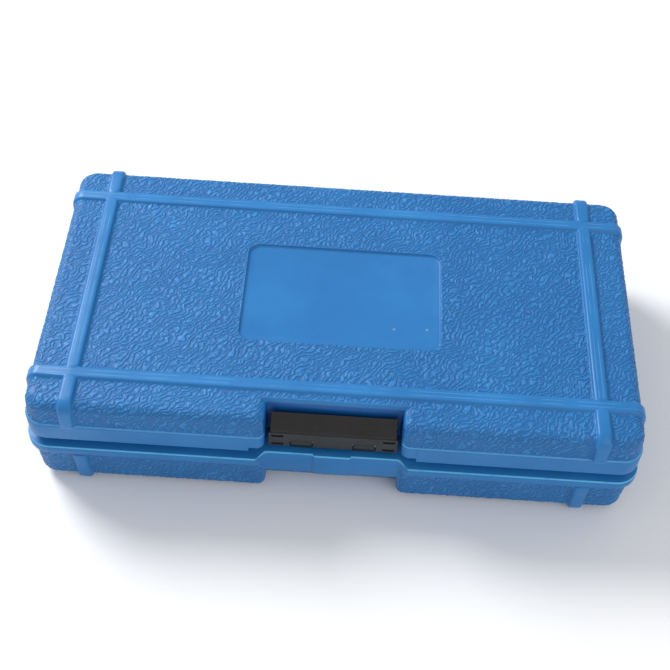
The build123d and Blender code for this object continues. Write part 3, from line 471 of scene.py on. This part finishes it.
# ======== foam ========
def foam_material():
    """Charcoal open-cell foam: fine pores with painted shade in their hollows, and a dusting of paler fibre."""
    g = Material("foam_charcoal")
    pores = g.node("TexVoronoi", {"Vector": g.place, "Scale": 1 / (1.1 * MM)}, feature="F1").outputs["Distance"]
    body = g.blend(g.span(g.noise(g.place, 9, 4), 0.3, 0.7), linear(38, 40, 43), linear(52, 54, 58))
    # painted shade in the pores' hollows
    body = g.blend(g.span(pores, 0.1, 0.45, 0.6, 0.0), body, linear(14, 14, 15))
    body = g.blend(g.span(g.noise(g.place, 1.2, 2), 0.66, 0.78, 0.0, 0.3), body, linear(96, 98, 102))
    normal = g.bump(pores, 0.5, 0.8)
    normal = g.bump(g.noise(g.place, 4, 3), 0.6, 0.5, normal)
    return g.finish(Base_Color=body, Roughness=0.95, Normal=normal, Sheen_Weight=0.25, Sheen_Roughness=0.5)


def base_foam_pad(material):
    """The cut foam: softened arrises, and walls that a wire has left a little wavy."""
    obj = skin("base_foam", "base_foam_pad", 1.2)
    modify(obj, "SMOOTH", factor=0.5, iterations=3)
    mesh = obj.data
    points = coordinates(mesh)
    wave = np.sin(points[:, 0] / 5.3 + points[:, 2] / 2.9) * np.sin(points[:, 1] / 4.1 - points[:, 2] / 3.7)
    put_coordinates(mesh, points - normals(mesh) * (0.10 + 0.10 * wave)[:, None])
    thin_out(obj, 60_000)
    stand_in(obj, "base_foam", "case", material)


def lid_foam_pad(material):
    """Egg-crate foam under the lid: its lower face rises and falls on a grid, and its top face is flat."""
    obj = skin("lid_foam", "lid_foam_pad", 1.5)
    mesh = obj.data
    points = coordinates(mesh)
    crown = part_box("lid_foam")[1][2] / MM
    wave = np.sin(2 * math.pi * points[:, 0] / EGG_PITCH) * np.sin(2 * math.pi * points[:, 1] / EGG_PITCH)
    hollow = EGG_DEPTH * (0.5 + 0.5 * wave)
    points[:, 2] = crown - (crown - points[:, 2]) * (1 - hollow / LID_FOAM_THICK)
    put_coordinates(mesh, points)
    modify(obj, "SMOOTH", factor=0.5, iterations=2)
    thin_out(obj, 60_000)
    stand_in(obj, "lid_foam", "lid", material)


# ======== latch ========
def latch_material():
    """Black nylon: a glossy, faintly brown blade above a matte strip; the blade is painted darker than the
    strip as painted shade and painted reflection under the pocket's overhang, and the grip slots and the groove
    at the fold are painted near black as painted shade.
    """
    g = Material("latch_nylon")
    x, y, z = g.axes()
    blade = g.span(z, STRIP_TOP_Z + 0.35, STRIP_TOP_Z + 0.65)
    cloud = g.span(g.noise(g.place, 14, 3), 0.3, 0.7)
    strip_tone = g.blend(cloud, linear(24, 27, 31), linear(34, 37, 42))
    # the blade's tone: faintly brown nylon, painted darker as painted shade and painted reflection under the
    # pocket's overhang
    blade_shaded_tone = g.blend(cloud, linear(13, 8, 6), linear(22, 15, 12))
    body = g.blend(blade, strip_tone, blade_shaded_tone)
    # painted shade: the grip slots and the groove between strip and blade are painted near black
    slot_z = g.math("MAXIMUM", *(g.near(z, at, GRIP_SLOT_HALF[1], 0.08) for at in GRIP_SLOT_Z))
    slot_x = g.near(g.math("ABSOLUTE", x), GRIP_SLOT_X, GRIP_SLOT_HALF[0], 0.08)
    slot_shadow = g.product(slot_x, slot_z, g.near(y, -73.6, 0.55, 0.1))
    groove_shadow = g.near(z, STRIP_TOP_Z + 0.3, 0.2, 0.15)
    body = g.blend(g.math("MAXIMUM", slot_shadow, groove_shadow), body, linear(7, 7, 8))
    dust = g.product(g.span(g.noise(g.place, 0.8, 2), 0.68, 0.76), 0.12)
    body = g.blend(dust, body, linear(120, 122, 126))
    scuffs = g.noise(g.vector("MULTIPLY", g.place, (0.06, 1, 1)), 0.7, 2)
    roughness = g.math("ADD", g.span(blade, 0, 1, 0.56, 0.24), g.span(scuffs, 0.5, 0.7, 0.0, 0.08))
    normal = g.bump(g.noise(g.place, 0.5, 3), 0.03, g.span(blade, 0, 1, 0.8, 0.2))
    normal = g.bump(g.noise(g.place, 18, 1), 0.3, 0.3, normal)
    return g.finish(Base_Color=body, Roughness=roughness, Normal=normal, IOR=1.53)


def soft_edged(node, name, body, voxel, triangles, material):
    """A hard moulded piece whose arrises are rounded as a mould leaves them."""
    obj = skin(node, name, voxel)
    modify(obj, "SMOOTH", factor=0.5, iterations=2)
    thin_out(obj, triangles)
    stand_in(obj, node, body, material)


# ======== materials for the CAD pieces ========
def moulded(name, dark, light, roughness=(0.45, 0.6), spark=0.4, depth=0.05, speck=None, **settings):
    """Moulded plastic or rubber: cloudy colour, fine spark-eroded texture, uneven gloss."""
    g = Material(name)
    body = g.blend(g.span(g.noise(g.place, 16, 4), 0.3, 0.7), linear(*dark), linear(*light))
    if speck:
        body = g.blend(g.span(g.noise(g.place, 0.7, 2), 0.64, 0.74, 0.0, 0.35), body, linear(*speck))
    gloss = g.span(g.noise(g.place, 5, 3), 0.25, 0.75, *roughness)
    normal = g.bump(g.noise(g.place, spark, 3, 0.6), depth, 0.7)
    return g.finish(Base_Color=body, Roughness=gloss, Normal=normal, **settings)


def drawn_metal(name, dark, light, roughness=(0.2, 0.4)):
    """Metal with fine lines along X and a mottled polish."""
    g = Material(name)
    lines = g.noise(g.vector("MULTIPLY", g.place, (0.03, 1, 1)), 0.35, 3)
    body = g.blend(g.span(lines, 0.3, 0.7), linear(*dark), linear(*light))
    gloss = g.span(g.noise(g.place, 3, 3), 0.3, 0.7, *roughness)
    return g.finish(Base_Color=body, Metallic=1.0, Roughness=gloss, Normal=g.bump(lines, 0.02, 0.6))


def ribbed_rubber():
    """Soft grip with upright ribs."""
    g = Material("side_rubber")
    x, y, z = g.axes()
    wave = g.math("SINE", g.math("MULTIPLY", x, 2 * math.pi / 2.4))
    body = g.blend(g.span(g.noise(g.place, 8, 3), 0.3, 0.7), linear(34, 36, 39), linear(48, 50, 54))
    normal = g.bump(g.noise(g.place, 0.5, 3), 0.04, 0.8, g.bump(g.span(wave, -0.4, 0.6), 0.35))
    return g.finish(Base_Color=body, Roughness=0.7, Normal=normal)


def clear_lens():
    """Clear acrylic with a faint haze and hairline scratches."""
    g = Material("lens_acrylic")
    hair = g.noise(g.vector("MULTIPLY", g.place, (0.05, 1, 1)), 0.4, 2)
    gloss = g.span(hair, 0.6, 0.8, 0.03, 0.16)
    tint = g.blend(g.noise(g.place, 12, 2), linear(214, 226, 222), linear(228, 236, 232))
    return g.finish(Base_Color=tint, Roughness=gloss, Transmission_Weight=1.0, IOR=1.49)


def blank_display():
    """Liquid-crystal glass, switched off: grey-green, with a fine grid of dots and a dark border."""
    g = Material("lcd_glass")
    x, y, z = g.axes()
    dots = [g.math("SINE", g.math("MULTIPLY", way, 2 * math.pi / 0.6)) for way in (x, y)]
    grid = g.math("MAXIMUM", g.span(dots[0], 0.8, 0.95), g.span(dots[1], 0.8, 0.95))
    body = g.blend(g.span(g.noise(g.place, 20, 2), 0.3, 0.7), linear(132, 146, 120), linear(144, 157, 131))
    body = g.blend(g.math("MULTIPLY", grid, 0.22), body, linear(92, 104, 84))
    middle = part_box("display_module")
    centre = [(middle[0][i] + middle[1][i]) / 2 / MM for i in (0, 1)]
    inside = g.product(g.near(x, centre[0], 17.5, 0.2), g.near(y, centre[1] - FRAME_Y, 9.5, 0.2))
    body = g.blend(inside, linear(30, 34, 32), body)
    return g.finish(Base_Color=body, Roughness=g.span(g.noise(g.place, 9, 2), 0.3, 0.7, 0.18, 0.3), IOR=1.5)


def wound_copper():
    """Enamelled wire, wound close: fine turns about the coil's axis, with painted shade in the grooves between
    them.
    """
    g = Material("coil_copper")
    x, y, z = g.axes()
    turns = g.math("SINE", g.math("MULTIPLY", z, 2 * math.pi / 0.45))
    # painted shade: the copper is painted darker in the grooves between the turns
    body = g.blend(g.span(turns, -0.8, 0.8), linear(120, 58, 30), linear(196, 112, 66))
    gloss = g.span(g.noise(g.place, 3, 2), 0.3, 0.7, 0.22, 0.34)
    return g.finish(Base_Color=body, Metallic=0.9, Roughness=gloss, Normal=g.bump(turns, 0.12, 0.8))


def board_laminate():
    """Green solder mask over copper tracks that show as faint ridges."""
    g = Material("board_laminate")
    field = {"Vector": g.place, "Scale": 1 / (3.2 * MM)}
    cells = g.node("TexVoronoi", field, feature="DISTANCE_TO_EDGE").outputs["Distance"]
    track = g.span(cells, 0.05, 0.09, 1.0, 0.0)
    body = g.blend(track, linear(18, 84, 46), linear(30, 112, 62))
    gloss = g.span(g.noise(g.place, 4, 2), 0.3, 0.7, 0.25, 0.36)
    return g.finish(Base_Color=body, Roughness=gloss, Normal=g.bump(track, 0.05))


def dress_cad_nodes():
    """Gives every CAD piece that shows as it is its finish."""
    fine = {"spark": 0.6, "depth": 0.06}
    shell = moulded("scanner_abs", (196, 199, 198), (206, 209, 207), speck=(178, 181, 180), **fine)
    front = moulded("scanner_abs_front", (203, 206, 206), (212, 215, 214), speck=(186, 189, 188), **fine)
    led = moulded("led_epoxy", (52, 150, 74), (70, 172, 92), (0.15, 0.25), Transmission_Weight=0.5, IOR=1.5)
    grey_keys = moulded("key_silicone", (58, 61, 64), (68, 71, 75), (0.55, 0.7))
    black = moulded("black_plastic", (26, 26, 27), (36, 36, 37), speck=(60, 60, 62))
    steel = drawn_metal("steel_wire", (128, 130, 133), (176, 178, 181))
    dark_steel = drawn_metal("screw_steel", (58, 58, 60), (84, 84, 87), (0.35, 0.5))
    nickel = drawn_metal("nickel_spring", (168, 164, 154), (204, 200, 190), (0.15, 0.3))
    copper = wound_copper()
    finishes = {
        "hinge_pins": steel,
        "latch_pin": steel,
        "scanner_rear_housing": shell,
        "battery_cover": shell,
        "scanner_front_housing": front,
        "display_lens": clear_lens(),
        "display_module": blank_display(),
        "status_led": led,
        "read_button": moulded("button_silicone", (22, 84, 160), (30, 98, 176), (0.5, 0.62)),
        "menu_key": grey_keys,
        "power_key": grey_keys,
        "circuit_board": board_laminate(),
        "tact_switches": black,
        "buzzer": black,
        "antenna_spool": black,
        "antenna_coil": copper,
        "antenna_leads": copper,
        "battery_cells": moulded("cell_sleeve", (44, 46, 50), (56, 58, 64), (0.2, 0.3), Coat_Weight=0.4),
        "battery_contacts": nickel,
        "housing_screws": dark_steel,
        "side_grips": ribbed_rubber(),
    }
    for node, material in finishes.items():
        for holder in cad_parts[node].material_slots:
            holder.material = material


# ======== the stage ========
def camera():
    """The camera, at the photograph's angle: above the front, rolled a little."""
    azimuth, elevation, roll = math.radians(0.50), math.radians(51.68), math.radians(3.287)
    back = Vector(
        (math.sin(azimuth) * math.cos(elevation), -math.cos(azimuth) * math.cos(elevation), math.sin(elevation))
    )
    right = (-back).cross(Vector((0, 0, 1))).normalized()
    down = (-back).cross(right)
    rolled_right = right * math.cos(roll) - down * math.sin(roll)
    rolled_down = right * math.sin(roll) + down * math.cos(roll)
    cam = bpy.data.objects.new("camera", bpy.data.cameras.new("camera"))
    cam.data.sensor_width = 36
    cam.data.lens = 63.94
    turn = Matrix((rolled_right, -rolled_down, back)).transposed().to_4x4()
    cam.matrix_world = Matrix.Translation(Vector((0.80, -385.34 + FRAME_Y, 517.0)) * MM) @ turn
    bpy.context.scene.collection.objects.link(cam)
    bpy.context.scene.camera = cam


def area_light(name, at, size, power):
    """A round soft light that faces the object."""
    data = bpy.data.lights.new(name, "AREA")
    data.shape = "DISK"
    data.size = size
    data.energy = power
    obj = bpy.data.objects.new(name, data)
    obj.location = at
    obj.rotation_euler = (Vector(at) - Vector((0, 0, 0.03))).to_track_quat("Z", "Y").to_euler()
    bpy.context.scene.collection.objects.link(obj)


def stage():
    """A pale floor card, an even studio sky, a soft key from the left behind and a faint fill."""
    g = Material("floor_card")
    tone = g.blend(g.noise(g.place, 160, 3), (0.86, 0.86, 0.86), (0.89, 0.89, 0.89))
    g.finish(Base_Color=tone, Roughness=0.9, Normal=g.bump(g.noise(g.place, 1.5, 3), 0.1, 0.2))
    mesh = bpy.data.meshes.new("floor")
    half = 3.0
    corners = [(-half, -half, 0), (half, -half, 0), (half, half, 0), (-half, half, 0)]
    mesh.from_pydata(corners, [], [(0, 1, 2, 3)])
    floor = bpy.data.objects.new("floor", mesh)
    floor.location.z = cad_low.z - 0.3 * MM
    mesh.materials.append(g.material)
    bpy.context.scene.collection.objects.link(floor)
    world = bpy.data.worlds.new("studio")
    world.use_nodes = True
    world.node_tree.nodes["Background"].inputs["Color"].default_value = (0.95, 0.97, 1.0, 1)
    world.node_tree.nodes["Background"].inputs["Strength"].default_value = 0.62
    bpy.context.scene.world = world
    bpy.context.scene.view_settings.view_transform = "Standard"
    area_light("key", (-0.85, 0.62, 0.95), 0.6, 19)
    area_light("fill", (0.7, -0.9, 0.75), 1.0, 3.8)


camera()
stage()
blue = case_material()
grained_shell("lid_shell", "lid_shell_skin", "lid", lid_grained, blue)
grained_shell("base_shell", "base_shell_skin", "case", base_grained, blue)
foam = foam_material()
base_foam_pad(foam)
lid_foam_pad(foam)
latch = latch_material()
soft_edged("latch_lever", "latch_lever_skin", "lever", 0.2, 60_000, latch)
soft_edged("latch_plate", "latch_plate_skin", "case", 0.2, 40_000, latch)
dress_cad_nodes()
